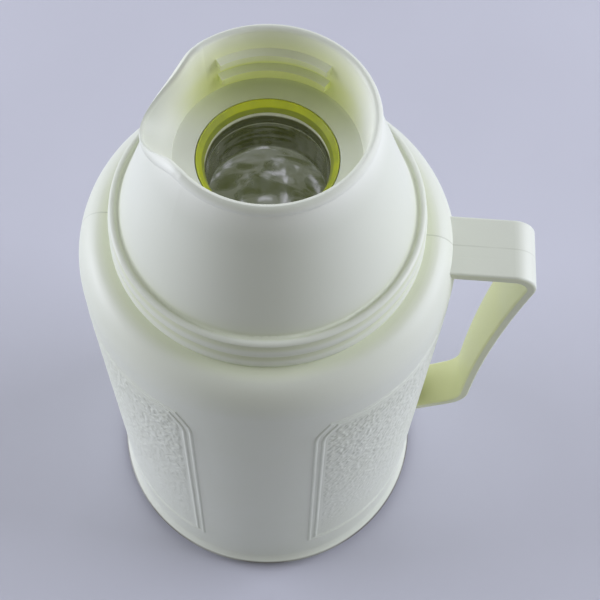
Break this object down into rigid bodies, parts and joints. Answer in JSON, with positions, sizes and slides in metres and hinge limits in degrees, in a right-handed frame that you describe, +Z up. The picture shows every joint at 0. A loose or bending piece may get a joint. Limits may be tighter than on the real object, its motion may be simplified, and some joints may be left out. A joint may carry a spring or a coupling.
{
  "type": "vacuum jug",
  "caption": "Vacuum jug with a conical screw-on pouring collar, open mouth, strap handle and silvered glass liner held by a screw-in base.",
  "frame": {"origin": "centre of the base's underside, on the table", "axes": "+Z up the jug's axis, +X towards the handle, -X towards the spout"},
  "size_m": [0.1601, 0.136, 0.2544],
  "materials": {
    "ivory_plastic": "ivory white, satin gloss, faintly translucent",
    "seal_rubber": "olive green, soft satin",
    "silvered_glass": "silvered from behind, clear and glossy",
    "fibre_pad": "pale pressed mineral fibre",
    "cushion_rubber": "dark matt rubber"
  },
  "bodies": {
    "casing": {"body_casing": "ivory_plastic", "handle": "ivory_plastic"},
    "collar_carrier": {"neck_seal": "seal_rubber"},
    "collar": {"spout_collar": "ivory_plastic"},
    "liner_carrier": {"liner_inner_flask": "silvered_glass", "liner_outer_flask": "silvered_glass", "liner_spacer_pads": "fibre_pad", "base_cushion": "cushion_rubber"},
    "base": {"base_cap": "ivory_plastic"}
  },
  "joints": [
    {"name": "collar_lift", "type": "slide", "parent": "casing", "child": "collar_carrier", "axis": [0, 0, 1], "range_m": [0, 0.01]},
    {"name": "collar_turn", "type": "hinge", "parent": "collar_carrier", "child": "collar", "pos_m": [0, 0, 0.199], "axis": [0, 0, 1], "range_deg": [0, 720]},
    {"name": "base_drop", "type": "slide", "parent": "casing", "child": "liner_carrier", "axis": [0, 0, -1], "range_m": [0, 0.012]},
    {"name": "base_turn", "type": "hinge", "parent": "liner_carrier", "child": "base", "pos_m": [0, 0, 0.01], "axis": [0, 0, -1], "range_deg": [0, 1080]}
  ],
  "couplings": [
    {"joint": "collar_lift", "follows": "collar_turn", "m_per_rad": 0.00079577},
    {"joint": "base_drop", "follows": "base_turn", "m_per_rad": 0.00063661}
  ]
}
